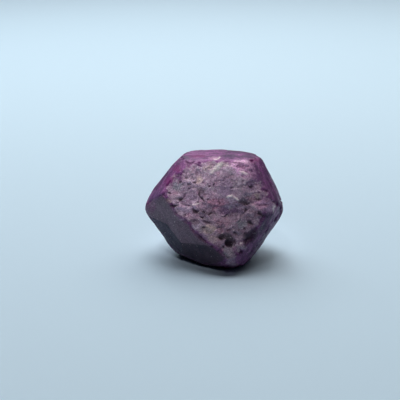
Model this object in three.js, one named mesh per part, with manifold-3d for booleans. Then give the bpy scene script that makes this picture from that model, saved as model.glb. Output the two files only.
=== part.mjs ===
// A raw ruby crystal: one worn, doubly ended hexagonal crystal of corundum, lying on one of its
// pyramid faces so that its front basal face looks forwards and upwards.
//
// Units are millimetres. +Z is up, the front basal face looks towards -Y, and the origin is the
// middle of the crystal's box at the surface that it lies on.
//
// The crystal is built from its faces. Each face is a plane, given by its crystal form, its azimuth
// round the c axis and its distance from the crystal's centre. A rough hexagonal prism is cut by
// all of them, and then the edges and corners are worn back.
import * as THREE from "three";
import { mergeVertices } from "three/addons/utils/BufferGeometryUtils.js";
import Module from "manifold-3d";

const wasm = await Module();
wasm.setup();

// ---- Driving dimensions -------------------------------------------------------------------

const AXIAL_RATIO = 1.365; // c / a of corundum, in the setting that its face symbols use
const LEAN_LEFT = 4; // degrees that the c axis is turned left of straight ahead
const WORN_EDGE = 1.3; // width of the band worn on every edge
const WORN_CORNER = 0.25; // depth worn off every corner, below the bands of its edges
const RUBY = { color: 0x7d6478, roughness: 0.6, metalness: 0 };

// Polar angle between a face {h k . l} and the c axis, in degrees.
function polarAngle(h, k, l) {
  const run = (2 / Math.sqrt(3)) * Math.sqrt(h * h + h * k + k * k) * AXIAL_RATIO;
  return THREE.MathUtils.radToDeg(Math.atan2(run, l));
}

const FORMS = {
  basal: polarAngle(0, 0, 1),
  dipyramid: polarAngle(2, 2, 3),
  rhombohedron: polarAngle(1, 0, 1),
  prism: polarAngle(1, 1, 0),
  vicinal: 13, // low growth faces that dome the basal face
};

// Azimuths are in degrees round the c axis: 0 is right and 90 is up, seen from the front.
const FRONT_FACES = [
  { form: "basal", azimuth: 0, distance: 8.9 },
  { form: "vicinal", azimuth: 90, distance: 9.8 },
  { form: "vicinal", azimuth: 27, distance: 10.4 },
  { form: "vicinal", azimuth: -33, distance: 10.2 },
  { form: "vicinal", azimuth: -127, distance: 9.5 },
  { form: "vicinal", azimuth: 149, distance: 10.0 },
  { form: "dipyramid", azimuth: 90, distance: 11.7 },
  { form: "dipyramid", azimuth: 27, distance: 13.9 },
  { form: "dipyramid", azimuth: -33, distance: 13.4 },
  { form: "rhombohedron", azimuth: -127, distance: 10.7 },
  { form: "dipyramid", azimuth: 149, distance: 12.5 },
];
const GIRDLE_FACES = [
  { form: "prism", azimuth: 91, distance: 13.7 },
  { form: "prism", azimuth: 58, distance: 16.0 },
  { form: "prism", azimuth: 30, distance: 14.6 },
  { form: "prism", azimuth: 0, distance: 15.2 },
  { form: "prism", azimuth: -34, distance: 13.2 },
  { form: "prism", azimuth: -60, distance: 14.7 },
  { form: "prism", azimuth: -90, distance: 14.0 },
  { form: "prism", azimuth: -116, distance: 12.1 },
  { form: "prism", azimuth: -142, distance: 12.4 },
  { form: "prism", azimuth: 180, distance: 15.2 },
  { form: "prism", azimuth: 150, distance: 13.4 },
  { form: "prism", azimuth: 121, distance: 13.8 },
];
const BACK_FACES = [
  { form: "basal", azimuth: 0, distance: 9.0 },
  { form: "dipyramid", azimuth: -90, distance: 10.6 }, // the face that the crystal lies on
  { form: "dipyramid", azimuth: -30, distance: 12.6 },
  { form: "dipyramid", azimuth: 30, distance: 13.4 },
  { form: "dipyramid", azimuth: 90, distance: 13.2 },
  { form: "dipyramid", azimuth: 150, distance: 13.4 },
  { form: "dipyramid", azimuth: -150, distance: 12.2 },
  { form: "rhombohedron", azimuth: 60, distance: 12.9 },
  { form: "rhombohedron", azimuth: 180, distance: 12.5 },
  { form: "rhombohedron", azimuth: -60, distance: 12.5 },
];

const ROUGH_RADIUS = 22; // of the hexagonal prism that is cut, well outside every face
const ROUGH_LENGTH = 40;
const CUTTER = 80; // side of the block that cuts a face
const SAME_POINT = 1e-4; // two corners this close are one
const SAME_FACE = 0.02; // two triangles whose normals differ by fewer radians are one face
const KEY_DIGITS = 3; // decimals that tell two points or two normals apart

// ---- Solids -------------------------------------------------------------------------------

// A closed three.js geometry as a manifold-3d solid.
function solidOf(geometry) {
  const bare = geometry.clone();
  bare.deleteAttribute("normal");
  bare.deleteAttribute("uv");
  const merged = mergeVertices(bare, SAME_POINT);
  return new wasm.Manifold(
    new wasm.Mesh({
      numProp: 3,
      vertProperties: new Float32Array(merged.attributes.position.array),
      triVerts: new Uint32Array(merged.index.array),
    }),
  );
}

// A manifold-3d solid as a three.js geometry.
function geometryOf(solid) {
  const mesh = solid.getMesh();
  return new THREE.BufferGeometry()
    .setAttribute("position", new THREE.BufferAttribute(mesh.vertProperties.slice(), 3))
    .setIndex(new THREE.BufferAttribute(mesh.triVerts.slice(), 1));
}

// The block outside a plane, which cuts a solid back to that plane.
function blockOutside(plane) {
  const block = new THREE.BoxGeometry(CUTTER, CUTTER, CUTTER);
  block.translate(0, 0, CUTTER / 2 + plane.distance);
  const turn = new THREE.Quaternion();
  turn.setFromUnitVectors(new THREE.Vector3(0, 0, 1), plane.normal);
  block.applyQuaternion(turn);
  return solidOf(block);
}

// The solid, cut back to every one of the planes.
function cutBack(solid, planes) {
  return planes.reduce((kept, plane) => kept.subtract(blockOutside(plane)), solid);
}

// ---- Faces, edges and corners -------------------------------------------------------------

// The plane of a face in the crystal's own frame, where +Z is the c axis and +Y is up.
function planeOf({ form, azimuth, distance }, end) {
  const polar = THREE.MathUtils.degToRad(FORMS[form]);
  const turn = THREE.MathUtils.degToRad(azimuth);
  const normal = new THREE.Vector3(
    Math.sin(polar) * Math.cos(turn),
    Math.sin(polar) * Math.sin(turn),
    Math.cos(polar) * end,
  );
  return { normal: normal.normalize(), distance };
}

// The solid's triangles, each with its corners and its outward normal.
function trianglesOf(solid) {
  const flat = geometryOf(solid).toNonIndexed().attributes.position;
  const triangles = [];
  for (let i = 0; i < flat.count; i += 3) {
    const corners = [0, 1, 2].map((k) => new THREE.Vector3().fromBufferAttribute(flat, i + k));
    const normal = new THREE.Triangle(...corners).getNormal(new THREE.Vector3());
    triangles.push({ corners, normal });
  }
  return triangles;
}

const keyOf = (vector) => vector.toArray().map((x) => x.toFixed(KEY_DIGITS)).join(" ");

// The plane that wears an edge back to a band of WORN_EDGE.
function edgeBand(a, b, first, second) {
  const normal = first.clone().add(second).normalize();
  const bend = first.angleTo(second);
  const depth = (WORN_EDGE / 2) * Math.tan(bend / 2);
  return { normal, distance: normal.dot(a.clone().add(b).divideScalar(2)) - depth };
}

// One band for every edge where two faces meet.
function edgeBands(solid) {
  const open = new Map();
  const bands = new Map();
  for (const { corners, normal } of trianglesOf(solid)) {
    corners.forEach((a, i) => {
      const b = corners[(i + 1) % 3];
      const other = open.get(keyOf(b) + "/" + keyOf(a));
      if (!other) {
        open.set(keyOf(a) + "/" + keyOf(b), normal);
      } else if (other.angleTo(normal) > SAME_FACE) {
        const band = edgeBand(a, b, other, normal);
        bands.set(keyOf(band.normal), band);
      }
    });
  }
  return [...bands.values()];
}

// One small cut for every corner, square to the mean of the faces that meet there.
function cornerCuts(solid) {
  const met = new Map();
  for (const { corners, normal } of trianglesOf(solid)) {
    for (const corner of corners) {
      const entry = met.get(keyOf(corner)) ?? { corner, normals: new Map() };
      entry.normals.set(keyOf(normal), normal);
      met.set(keyOf(corner), entry);
    }
  }
  return [...met.values()].map(({ corner, normals }) => {
    const normal = new THREE.Vector3();
    normals.forEach((n) => normal.add(n));
    normal.normalize();
    return { normal, distance: normal.dot(corner) - WORN_CORNER };
  });
}

// ---- The crystal --------------------------------------------------------------------------

// The worn crystal in its own frame, where +Z is the c axis.
function crystalGeometry() {
  const rough = new THREE.CylinderGeometry(ROUGH_RADIUS, ROUGH_RADIUS, ROUGH_LENGTH, 6);
  rough.rotateX(Math.PI / 2);
  const faces = [
    ...FRONT_FACES.map((face) => planeOf(face, 1)),
    ...GIRDLE_FACES.map((face) => planeOf(face, 0)),
    ...BACK_FACES.map((face) => planeOf(face, -1)),
  ];
  const sharp = cutBack(solidOf(rough), faces);
  const banded = cutBack(sharp, edgeBands(sharp));
  return geometryOf(cutBack(banded, cornerCuts(banded)));
}

// Lays the crystal on its back lower dipyramid face, and puts the origin under its middle.
function layDown(geometry) {
  const rise = 90 - FORMS.dipyramid; // of the c axis, so that the face lies level
  geometry.rotateX(THREE.MathUtils.degToRad(90 - rise));
  geometry.rotateZ(THREE.MathUtils.degToRad(-LEAN_LEFT));
  geometry.computeBoundingBox();
  const { min, max } = geometry.boundingBox;
  geometry.translate(-(min.x + max.x) / 2, -(min.y + max.y) / 2, -min.z);
  return geometry;
}

const crystal = new THREE.Mesh(
  layDown(crystalGeometry()),
  new THREE.MeshStandardMaterial(RUBY),
);
crystal.name = "ruby_crystal";

const part = new THREE.Group();
part.add(crystal);

export default part;
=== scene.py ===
"""A raw ruby crystal: a worn, doubly ended crystal of corundum that lies on one of its faces.

The crystal's outline is worked out from its faces by a rule of growth, its skin is weathered by
a second one, and both are Geometry Nodes trees that are built here. All lengths in the classes
below are in millimetres unless a name says otherwise, and Blender's own are in metres.
"""

from __future__ import annotations

import logging
import math
from dataclasses import asdict, dataclass, field, fields
from enum import Enum

import bpy
import numpy as np
from mathutils import Matrix, Vector

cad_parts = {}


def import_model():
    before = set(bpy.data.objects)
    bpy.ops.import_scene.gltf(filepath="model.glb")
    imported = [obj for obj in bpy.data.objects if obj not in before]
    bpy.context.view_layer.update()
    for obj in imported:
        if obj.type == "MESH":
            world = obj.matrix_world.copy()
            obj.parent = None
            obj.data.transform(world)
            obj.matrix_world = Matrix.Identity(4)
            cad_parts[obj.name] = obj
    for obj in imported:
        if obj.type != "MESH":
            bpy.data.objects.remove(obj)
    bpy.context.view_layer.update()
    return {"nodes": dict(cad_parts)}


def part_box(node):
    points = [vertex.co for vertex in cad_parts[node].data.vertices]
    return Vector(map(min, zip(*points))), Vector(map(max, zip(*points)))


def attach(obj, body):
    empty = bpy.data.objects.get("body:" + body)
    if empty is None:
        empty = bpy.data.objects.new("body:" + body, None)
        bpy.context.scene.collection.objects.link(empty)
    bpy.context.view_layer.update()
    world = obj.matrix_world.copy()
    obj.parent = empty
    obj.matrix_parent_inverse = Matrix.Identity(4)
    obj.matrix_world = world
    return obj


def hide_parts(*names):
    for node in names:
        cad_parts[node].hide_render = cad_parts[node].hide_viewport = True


LOG = logging.getLogger("ruby")
MM = 0.001
NODE = "ruby_crystal"
NUMBER, TRIPLE = "FLOAT", "FLOAT_VECTOR"

Colour = tuple[float, float, float]
Triple = tuple[float, float, float]


# ---- Nodes --------------------------------------------------------------------------------


class Value:
    """An output socket to reckon with: each operator lays one Math or Vector Math node."""

    def __init__(self, graph: Graph, socket: bpy.types.NodeSocket) -> None:
        """Holds a socket and the graph that it is in."""
        self.graph = graph
        self.socket = socket

    @staticmethod
    def wide(thing: object) -> bool:
        """Whether something is a vector or a colour, and not a number."""
        kind = thing.socket.type if isinstance(thing, Value) else type(thing)
        return kind in ("VECTOR", "RGBA", tuple, Vector)

    def __add__(self, other: object) -> Value:
        """This plus another."""
        return self.graph.reckon("ADD", self, other)

    def __sub__(self, other: object) -> Value:
        """This less another."""
        return self.graph.reckon("SUBTRACT", self, other)

    def __rsub__(self, other: object) -> Value:
        """Another less this."""
        return self.graph.reckon("SUBTRACT", other, self)

    def __mul__(self, other: object) -> Value:
        """This times another.

        Args:
            other: what it is multiplied by, number or vector.

        Returns:
            The product, which is a vector if either is.
        """
        if Value.wide(self) == Value.wide(other):
            return self.graph.reckon("MULTIPLY", self, other)
        vector, scale = (self, other) if Value.wide(self) else (other, self)
        sockets = {0: vector, "Scale": scale}
        return self.graph.out("ShaderNodeVectorMath", sockets, operation="SCALE")

    def __truediv__(self, other: object) -> Value:
        """This divided by another."""
        return self.graph.reckon("DIVIDE", self, other)

    def __rtruediv__(self, other: object) -> Value:
        """Another divided by this."""
        return self.graph.reckon("DIVIDE", other, self)

    def __pow__(self, other: object) -> Value:
        """This to the power of another."""
        return self.graph.reckon("POWER", self, other)

    def __gt__(self, other: object) -> Value:
        """1 where this is more than another, and 0 elsewhere."""
        return self.graph.reckon("GREATER_THAN", self, other)

    __radd__ = __add__
    __rmul__ = __mul__


class Graph:
    """Lays nodes in one tree, sets their sockets and links them."""

    def __init__(self, tree: bpy.types.NodeTree) -> None:
        """Starts laying nodes in a shader or geometry tree."""
        self.tree = tree

    def add(self, kind: str, sockets: dict | None = None, **settings: object) -> bpy.types.Node:
        """Adds a node.

        Args:
            kind: Blender's name for the node's type.
            sockets: input name or index to what goes in.
            settings: the node's own properties.

        Returns:
            The node.
        """
        node = self.tree.nodes.new(kind)
        for name, setting in settings.items():
            setattr(node, name, setting)
        for key, value in (sockets or {}).items():
            self.feed(node, key, value)
        return node

    def feed(self, node: bpy.types.Node, key: str | int, value: object) -> None:
        """Sets one input of a node, or links it.

        Args:
            node: the node.
            key: the input's name, or its index.
            value: a plain value, or what is linked.
        """
        live = [s for s in node.inputs if s.enabled and s.name == key]
        socket = node.inputs[key] if isinstance(key, int) else live[0]
        if isinstance(value, Value):
            self.tree.links.new(value.socket, socket)
        else:
            socket.default_value = value

    def out(self, kind: str, sockets: dict | None = None, **settings: object) -> Value:
        """Adds a node as add does, and gives its first live output."""
        node = self.add(kind, sockets, **settings)
        return Value(self, next(s for s in node.outputs if s.enabled))

    def reckon(self, operation: str, *values: object) -> Value:
        """Works out one step of arithmetic, on vectors if any of the values is one."""
        kind = "ShaderNodeVectorMath" if any(map(Value.wide, values)) else "ShaderNodeMath"
        return self.out(kind, dict(enumerate(values)), operation=operation)

    def ramp(self, value: Value, low: float, high: float, start: float = 0.0,
             end: float = 1.0) -> Value:
        """A smooth rise from start to end as the value goes from low to high."""
        sockets = {"Value": value, "From Min": low, "From Max": high,
                   "To Min": start, "To Max": end}
        return self.out("ShaderNodeMapRange", sockets, interpolation_type="SMOOTHSTEP")

    def noise(self, place: Value, scale: object, detail: float = 3.0, roughness: float = 0.5,
              distortion: float = 0.0) -> Value:
        """Fractal noise from 0 to 1.

        Args:
            place: where it is read.
            scale: lumps for each unit of the place.
            detail: how many finer layers it has.
            roughness: how strong the finer layers are.
            distortion: how much it swirls.

        Returns:
            The noise.
        """
        sockets = {"Vector": place, "Scale": scale, "Detail": detail,
                   "Roughness": roughness, "Distortion": distortion}
        return self.out("ShaderNodeTexNoise", sockets)

    def stray(self, place: Value, scale: float, reach: float, detail: float = 2.0) -> Value:
        """A vector that wanders round nothing.

        Args:
            place: where it is read.
            scale: turns for each unit of the place.
            reach: how far it wanders.
            detail: how many finer layers it has.

        Returns:
            The vector.
        """
        sockets = {"Vector": place, "Scale": scale, "Detail": detail}
        node = self.add("ShaderNodeTexNoise", sockets)
        return (Value(self, node.outputs["Color"]) - (0.5, 0.5, 0.5)) * reach

    def most(self, first: object, second: object) -> Value:
        """The larger of two numbers."""
        return self.reckon("MAXIMUM", first, second)

    def capped(self, value: Value) -> Value:
        """A number that goes no higher than 1."""
        return self.reckon("MINIMUM", value, 1.0)

    def dot(self, first: Value, second: Value) -> Value:
        """How far one vector goes along another."""
        return self.reckon("DOT_PRODUCT", first, second)

    def length(self, vector: Value) -> Value:
        """How long a vector is."""
        return self.reckon("LENGTH", vector)

    def split(self, vector: Value) -> list[Value]:
        """The three numbers of a vector."""
        return [Value(self, s) for s in self.add("ShaderNodeSeparateXYZ", {0: vector}).outputs]

    def joined(self, x: object, y: object, z: object) -> Value:
        """A vector from three numbers."""
        return self.out("ShaderNodeCombineXYZ", {0: x, 1: y, 2: z})

    def mixed(self, factor: object, first: object, second: object) -> Value:
        """A number between two others."""
        return self.out("ShaderNodeMix", {"Factor": factor, "A": first, "B": second})

    def tinted(self, factor: Value, first: object, second: object) -> Value:
        """A colour between two others."""
        sockets = {"Factor": factor, "A": opaque(first), "B": opaque(second)}
        return self.out("ShaderNodeMix", sockets, data_type="RGBA")

    def gradient(self, factor: Value, *stops: tuple[float, Colour]) -> Value:
        """A colour that runs through stops.

        Args:
            factor: the place along the gradient.
            stops: place and colour, in order.

        Returns:
            The colour.
        """
        node = self.add("ShaderNodeValToRGB", {"Fac": factor})
        elements = node.color_ramp.elements
        while len(elements) < len(stops):
            elements.new(0.5)
        for element, (place, colour) in zip(elements, stops):
            element.position = place
            element.color = opaque(colour)
        return Value(self, node.outputs["Color"])


def opaque(colour: object) -> object:
    """A plain colour with its alpha, and anything else as it is."""
    return (*colour, 1.0) if isinstance(colour, tuple) and len(colour) == 3 else colour


def label(name: str) -> str:
    """What a tree calls the input that holds something."""
    return name.replace("_", " ").title()


class GrowthTree(Graph):
    """A Geometry Nodes tree with named inputs, which ends in plain mesh with its material."""

    def __init__(self, name: str, **inputs: str) -> None:
        """Makes the tree and its interface.

        Args:
            name: the tree's name.
            inputs: each input's name and socket type, after the geometry.
        """
        super().__init__(bpy.data.node_groups.new(name, "GeometryNodeTree"))
        inputs = {"geometry": "Geometry", **inputs}
        for key, kind in inputs.items():
            self.tree.interface.new_socket(
                name=label(key), in_out="INPUT", socket_type=f"NodeSocket{kind}")
        self.tree.interface.new_socket(
            name="Geometry", in_out="OUTPUT", socket_type="NodeSocketGeometry")
        sockets = self.add("NodeGroupInput").outputs
        self.given = {key: Value(self, socket) for key, socket in zip(inputs, sockets)}

    def attribute(self, name: str, kind: str = NUMBER) -> Value:
        """A named attribute of the geometry that the result is used on."""
        return self.out("GeometryNodeInputNamedAttribute", {"Name": name}, data_type=kind)

    def stored(self, geometry: Value, **values: Value) -> Value:
        """The geometry, with values stored on its points.

        Args:
            geometry: what is stored on.
            values: attribute name to what it holds.

        Returns:
            The geometry.
        """
        for name, value in values.items():
            sockets = {"Geometry": geometry, "Name": name, "Value": value}
            geometry = self.out("GeometryNodeStoreNamedAttribute", sockets, domain="POINT",
                                data_type=TRIPLE if Value.wide(value) else NUMBER)
        return geometry

    def sampled(self, geometry: Value, name: str, index: Value, kind: str = NUMBER) -> Value:
        """One point's attribute.

        Args:
            geometry: what holds the points.
            name: the attribute's name.
            index: which point.
            kind: the data type.

        Returns:
            The value.
        """
        sockets = {"Geometry": geometry, "Value": self.attribute(name, kind), "Index": index}
        return self.out("GeometryNodeSampleIndex", sockets, data_type=kind, domain="POINT")

    def points_of(self, key: str) -> Value:
        """The geometry of an object that is an input."""
        node = self.add("GeometryNodeObjectInfo", {"Object": self.given[key]})
        return Value(self, node.outputs["Geometry"])

    def moved(self, geometry: Value, **how: Value) -> Value:
        """The geometry with its points at a new position or moved by an offset."""
        sockets = {"Geometry": geometry, **{label(key): value for key, value in how.items()}}
        return self.out("GeometryNodeSetPosition", sockets)

    def finish(self, geometry: Value) -> None:
        """Ends the tree in realized, smooth mesh with its material.

        Args:
            geometry: the mesh that is done.
        """
        smooth = self.out("GeometryNodeSetShadeSmooth", {"Geometry": geometry})
        real = self.out("GeometryNodeRealizeInstances", {"Geometry": smooth})
        sockets = {"Geometry": real, "Material": self.given["material"]}
        dressed = self.out("GeometryNodeSetMaterial", sockets)
        self.add("NodeGroupOutput", {"Geometry": dressed})

    def grow(self, thing: bpy.types.Object, **values: object) -> None:
        """Runs the tree on an object and keeps the result as its plain mesh.

        Args:
            thing: the object.
            values: the tree's inputs.
        """
        modifier = thing.modifiers.new(self.tree.name, "NODES")
        modifier.node_group = self.tree
        named = {label(key): value for key, value in values.items()}
        for item in self.tree.interface.items_tree:
            if item.in_out == "INPUT" and item.name in named:
                modifier[item.identifier] = named[item.name]
        depsgraph = bpy.context.evaluated_depsgraph_get()
        grown = bpy.data.meshes.new_from_object(
            thing.evaluated_get(depsgraph), preserve_all_data_layers=True, depsgraph=depsgraph)
        thing.modifiers.clear()
        spent = thing.data
        thing.data = grown
        bpy.data.meshes.remove(spent)
        grown.name = thing.name


class Loop:
    """A part of a tree that is gone through again and again, and hands values on by name."""

    def __init__(self, tree: GrowthTree, count: Value, **kept: str) -> None:
        """Opens the loop.

        Args:
            tree: the tree that it is in.
            count: how many times it is gone through.
            kept: the name and type of each value that is handed on.
        """
        self.tree = tree
        self.first = tree.add("GeometryNodeRepeatInput")
        self.last = tree.add("GeometryNodeRepeatOutput")
        self.first.pair_with_output(self.last)
        self.last.repeat_items.clear()
        for name, kind in kept.items():
            self.last.repeat_items.new(kind, name)
        tree.feed(self.first, "Iterations", count)
        self.turn = Value(tree, self.first.outputs["Iteration"])

    def __getitem__(self, name: str) -> Value:
        """What the turn before handed on."""
        return Value(self.tree, self.first.outputs[name])

    def __setitem__(self, name: str, value: Value) -> None:
        """Hands a value on."""
        self.tree.feed(self.last, name, value)

    def result(self, name: str) -> Value:
        """What the last turn handed on."""
        return Value(self.tree, self.last.outputs[name])


# ---- The crystal's form -------------------------------------------------------------------


class Form(Enum):
    """A crystal form of corundum, by the angle of its faces from the c axis in degrees."""

    BASAL = 0.0
    VICINAL = 13.0
    RHOMBOHEDRON = 57.6
    DIPYRAMID = 61.2
    PRISM = 90.0


class Dress(Enum):
    """How a face looks: how much skin, dusk and rose it has; dusk is the dark of the faces
    underneath, partly their own colour and partly painted shade.
    """

    SKIN = (1.0, 0.0, 0.0)
    ROSE = (0.0, 0.0, 1.0)
    BLUSH = (0.0, 0.0, 0.55)
    PLUM = (0.0, 0.0, 0.0)
    DUSK = (0.0, 1.0, 0.0)
    CRUST = (0.6, 0.25, 0.1)


@dataclass(frozen=True)
class Facet:
    """A smaller plane that is part of a face and leans away from it.

    Attributes:
        polar: degrees that it leans away from the c axis, more than its face does.
        azimuth: degrees that it is turned round the c axis from its face.
        share: how much of the face it takes, from 0 for none to 1 for up to the middle.
        tone: how much paler it is than its face, or darker if it is negative.
    """

    polar: float
    azimuth: float
    share: float
    tone: float = 0.0


@dataclass(frozen=True)
class Face:
    """One face of the crystal.

    Attributes:
        form: the crystal form that it belongs to.
        azimuth: degrees round the c axis, 0 to the right and 90 up from the front.
        dress: how it looks.
        front: whether it is on the front end.
        facets: the planes that it is broken into, or nothing for a few at random.
    """

    form: Form
    azimuth: float
    dress: Dress
    front: bool = True
    facets: tuple[Facet, ...] = ()


FACES = (
    Face(Form.BASAL, 0, Dress.SKIN),
    Face(Form.VICINAL, 90, Dress.SKIN),
    Face(Form.VICINAL, 27, Dress.SKIN),
    Face(Form.VICINAL, -33, Dress.SKIN, facets=(Facet(60, -49, 0.15),)),
    Face(Form.VICINAL, -127, Dress.SKIN),
    Face(Form.VICINAL, 149, Dress.SKIN),
    Face(Form.DIPYRAMID, 90, Dress.ROSE, facets=(Facet(3, -9, 0.25), Facet(-9, 5, 0.3))),
    Face(Form.DIPYRAMID, 27, Dress.BLUSH, facets=(Facet(13, -3, 0.45), Facet(-12, 6, 0.3))),
    Face(Form.DIPYRAMID, -33, Dress.PLUM, facets=(Facet(8, 6, 0.35), Facet(-10, 12, 0.25))),
    Face(Form.RHOMBOHEDRON, -127, Dress.DUSK,
         facets=(Facet(-5, -6, 1.34, 1.5), Facet(5, -8, 0.79, -1.5), Facet(-5, -17, 0.74, 1.3))),
    Face(Form.DIPYRAMID, 149, Dress.ROSE,
         facets=(Facet(16, -6, 0.41), Facet(-9, -8, 0.35), Facet(15, -10, 0.38))),
    Face(Form.PRISM, 91, Dress.BLUSH, facets=(Facet(6, 8, 0.3), Facet(8, -9, 0.4))),
    Face(Form.PRISM, 58, Dress.BLUSH),
    Face(Form.PRISM, 30, Dress.PLUM),
    Face(Form.PRISM, 0, Dress.CRUST),
    Face(Form.PRISM, -34, Dress.PLUM),
    Face(Form.PRISM, -60, Dress.PLUM, facets=(Facet(8, 9, 0.43), Facet(-5, -5, 0.3))),
    Face(Form.PRISM, -90, Dress.DUSK, facets=(Facet(16, 16, 0.54), Facet(-5, -5, 0.25))),
    Face(Form.PRISM, -116, Dress.DUSK, facets=(Facet(0, 16, 0.2), Facet(5, 1, 0.32))),
    Face(Form.PRISM, -142, Dress.DUSK, facets=(Facet(3, -1, 0.2), Facet(-5, -5, 0.2))),
    Face(Form.PRISM, 180, Dress.BLUSH),
    Face(Form.PRISM, 150, Dress.PLUM, facets=(Facet(1, 8, 0.34), Facet(-5, -5, 0.25))),
    Face(Form.PRISM, 121, Dress.CRUST, facets=(Facet(5, 3, 0.25), Facet(-3, 0, 0.29))),
    Face(Form.BASAL, 0, Dress.SKIN, front=False),
    Face(Form.DIPYRAMID, -90, Dress.DUSK, front=False),
    Face(Form.DIPYRAMID, -30, Dress.PLUM, front=False),
    Face(Form.DIPYRAMID, 30, Dress.BLUSH, front=False),
    Face(Form.DIPYRAMID, 90, Dress.PLUM, front=False),
    Face(Form.DIPYRAMID, 150, Dress.CRUST, front=False),
    Face(Form.DIPYRAMID, -150, Dress.PLUM, front=False),
    Face(Form.RHOMBOHEDRON, 60, Dress.ROSE, front=False),
    Face(Form.RHOMBOHEDRON, 180, Dress.DUSK, front=False),
    Face(Form.RHOMBOHEDRON, -60, Dress.PLUM, front=False),
)


@dataclass(frozen=True)
class Axes:
    """The crystal's own directions and its middle.

    Attributes:
        rise: degrees that the c axis rises towards the front, so that the face below lies level.
        lean: degrees that the c axis is turned left of straight ahead.
        middle: the middle of the crystal, in metres.
    """

    rise: float = 28.8
    lean: float = 4.0
    middle: Vector = field(default_factory=Vector)

    @property
    def turn(self) -> Matrix:
        """The matrix whose rows are right, up and the c axis."""
        rise, lean = math.radians(self.rise), math.radians(self.lean)
        right = Vector((math.cos(lean), -math.sin(lean), 0.0))
        along = Vector((-math.sin(lean) * math.cos(rise),
                        -math.cos(lean) * math.cos(rise), math.sin(rise)))
        return Matrix((right, along.cross(right), along))

    def normal(self, polar: float, azimuth: float, front: bool) -> np.ndarray:
        """The outward direction of a plane.

        Args:
            polar: degrees from the c axis.
            azimuth: degrees round it.
            front: whether it is on the front end.

        Returns:
            The direction.
        """
        polar, azimuth = math.radians(polar), math.radians(azimuth)
        own = Vector((math.sin(polar) * math.cos(azimuth), math.sin(polar) * math.sin(azimuth),
                      math.cos(polar) * (1 if front else -1)))
        return np.array(own @ self.turn)


def point_cloud(name: str, rows: list[dict]) -> bpy.types.Object:
    """Loose points that carry values for a tree to read.

    Args:
        name: the object's name.
        rows: for each point, attribute name to number or vector.

    Returns:
        The object, which is a tool and isn't shown.
    """
    mesh = bpy.data.meshes.new(name)
    mesh.vertices.add(len(rows))
    for key in rows[0]:
        column = np.array([row[key] for row in rows], float)
        kind, item = (NUMBER, "value") if column.ndim == 1 else (TRIPLE, "vector")
        mesh.attributes.new(key, kind, "POINT").data.foreach_set(item, column.ravel())
    cloud = bpy.data.objects.new(name, mesh)
    bpy.context.scene.collection.objects.link(cloud)
    cloud.hide_render = True
    return cloud


def direction_grid(cells: int, gather: float, turn: Matrix) -> bpy.types.Mesh:
    """A closed ball of even squares, one step from its middle, to grow the crystal on.

    Args:
        cells: squares along each edge of the six patches.
        gather: how far the squares are gathered towards the front.
        turn: rows that are right, up and the c axis.

    Returns:
        The mesh, with a UV map that gives each patch a tile of its own.
    """
    steps = np.tan(np.linspace(-1, 1, cells + 1) * math.pi / 4)
    a, b = np.meshgrid(steps, steps, indexing="ij")
    one = np.ones_like(a)
    patches = [(one, a, b), (-one, b, a), (b, one, a), (a, -one, b), (a, b, one), (b, a, -one)]
    corner = np.arange(cells)[:, None] * (cells + 1) + np.arange(cells)[None]
    square = np.stack([corner, corner + cells + 1, corner + cells + 2, corner + 1], -1)
    square = square.reshape(-1, 4)
    loose = np.concatenate([np.stack(p, -1).reshape(-1, 3) for p in patches])
    quads = np.concatenate([square + k * (cells + 1) ** 2 for k in range(len(patches))])
    _, keep, weld = np.unique(loose.round(6), axis=0, return_index=True, return_inverse=True)
    points = loose[keep] / np.linalg.norm(loose[keep], axis=1, keepdims=True)
    points = points + (0, 0, gather)
    points /= np.linalg.norm(points, axis=1, keepdims=True)
    points = points @ np.array(turn)
    gutter, columns, rows = 0.01, 3, 2
    tile = np.stack(np.meshgrid(*[np.linspace(gutter, 1 - gutter, cells + 1)] * 2,
                                indexing="ij"), -1).reshape(-1, 2)
    tiles = np.concatenate([(tile + (k % columns, k // columns)) / (columns, rows)
                            for k in range(len(patches))])
    mesh = bpy.data.meshes.new("growth")
    mesh.vertices.add(len(points))
    mesh.vertices.foreach_set("co", points.ravel())
    mesh.loops.add(quads.size)
    mesh.loops.foreach_set("vertex_index", weld.ravel()[quads].ravel())
    mesh.polygons.add(len(quads))
    mesh.polygons.foreach_set("loop_start", np.arange(0, quads.size, 4))
    mesh.update(calc_edges=True)
    mesh.uv_layers.new(name="OFBake").data.foreach_set("uv", tiles[quads].ravel())
    return mesh


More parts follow.
